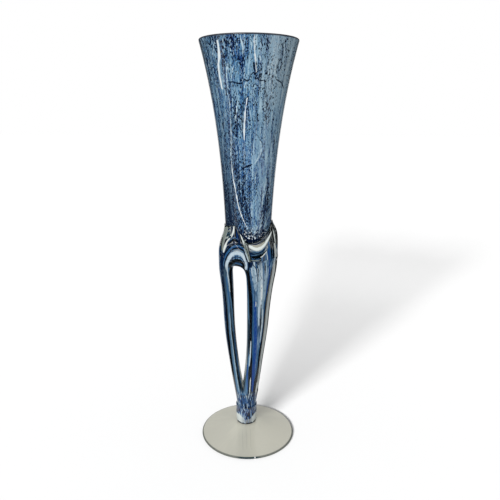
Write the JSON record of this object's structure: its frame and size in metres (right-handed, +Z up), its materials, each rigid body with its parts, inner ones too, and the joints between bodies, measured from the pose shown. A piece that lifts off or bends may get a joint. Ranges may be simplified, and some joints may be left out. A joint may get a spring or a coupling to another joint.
{
  "type": "art glass vase",
  "caption": "Tall footed art glass vase: a slender trumpet bowl of mottled blue glass held in a clear peaked crown, on a pierced stem over a clear button and round foot",
  "frame": {"origin": "centre of the round foot, on the surface that the vase stands on", "axes": "+Z up along the bowl's axis, -Y is the front that faces the viewer, +X to the viewer's right"},
  "size_m": [0.1106, 0.1106, 0.45],
  "materials": {
    "foot_clear": "clear glass with a faint grey cast, ground rest ring",
    "clear_glass": "fire-polished clear glass",
    "leg_blue": "streaked blue and white glass cased in clear, glossy",
    "bowl_blue": "mottled blue, navy and white blown glass, glossy"
  },
  "bodies": {
    "root": {"foot": "foot_clear", "button": "clear_glass", "left_leg": "leg_blue", "front_leg": "leg_blue", "back_leg": "leg_blue", "crown": "clear_glass", "bowl": "bowl_blue"}
  },
  "joints": []
}
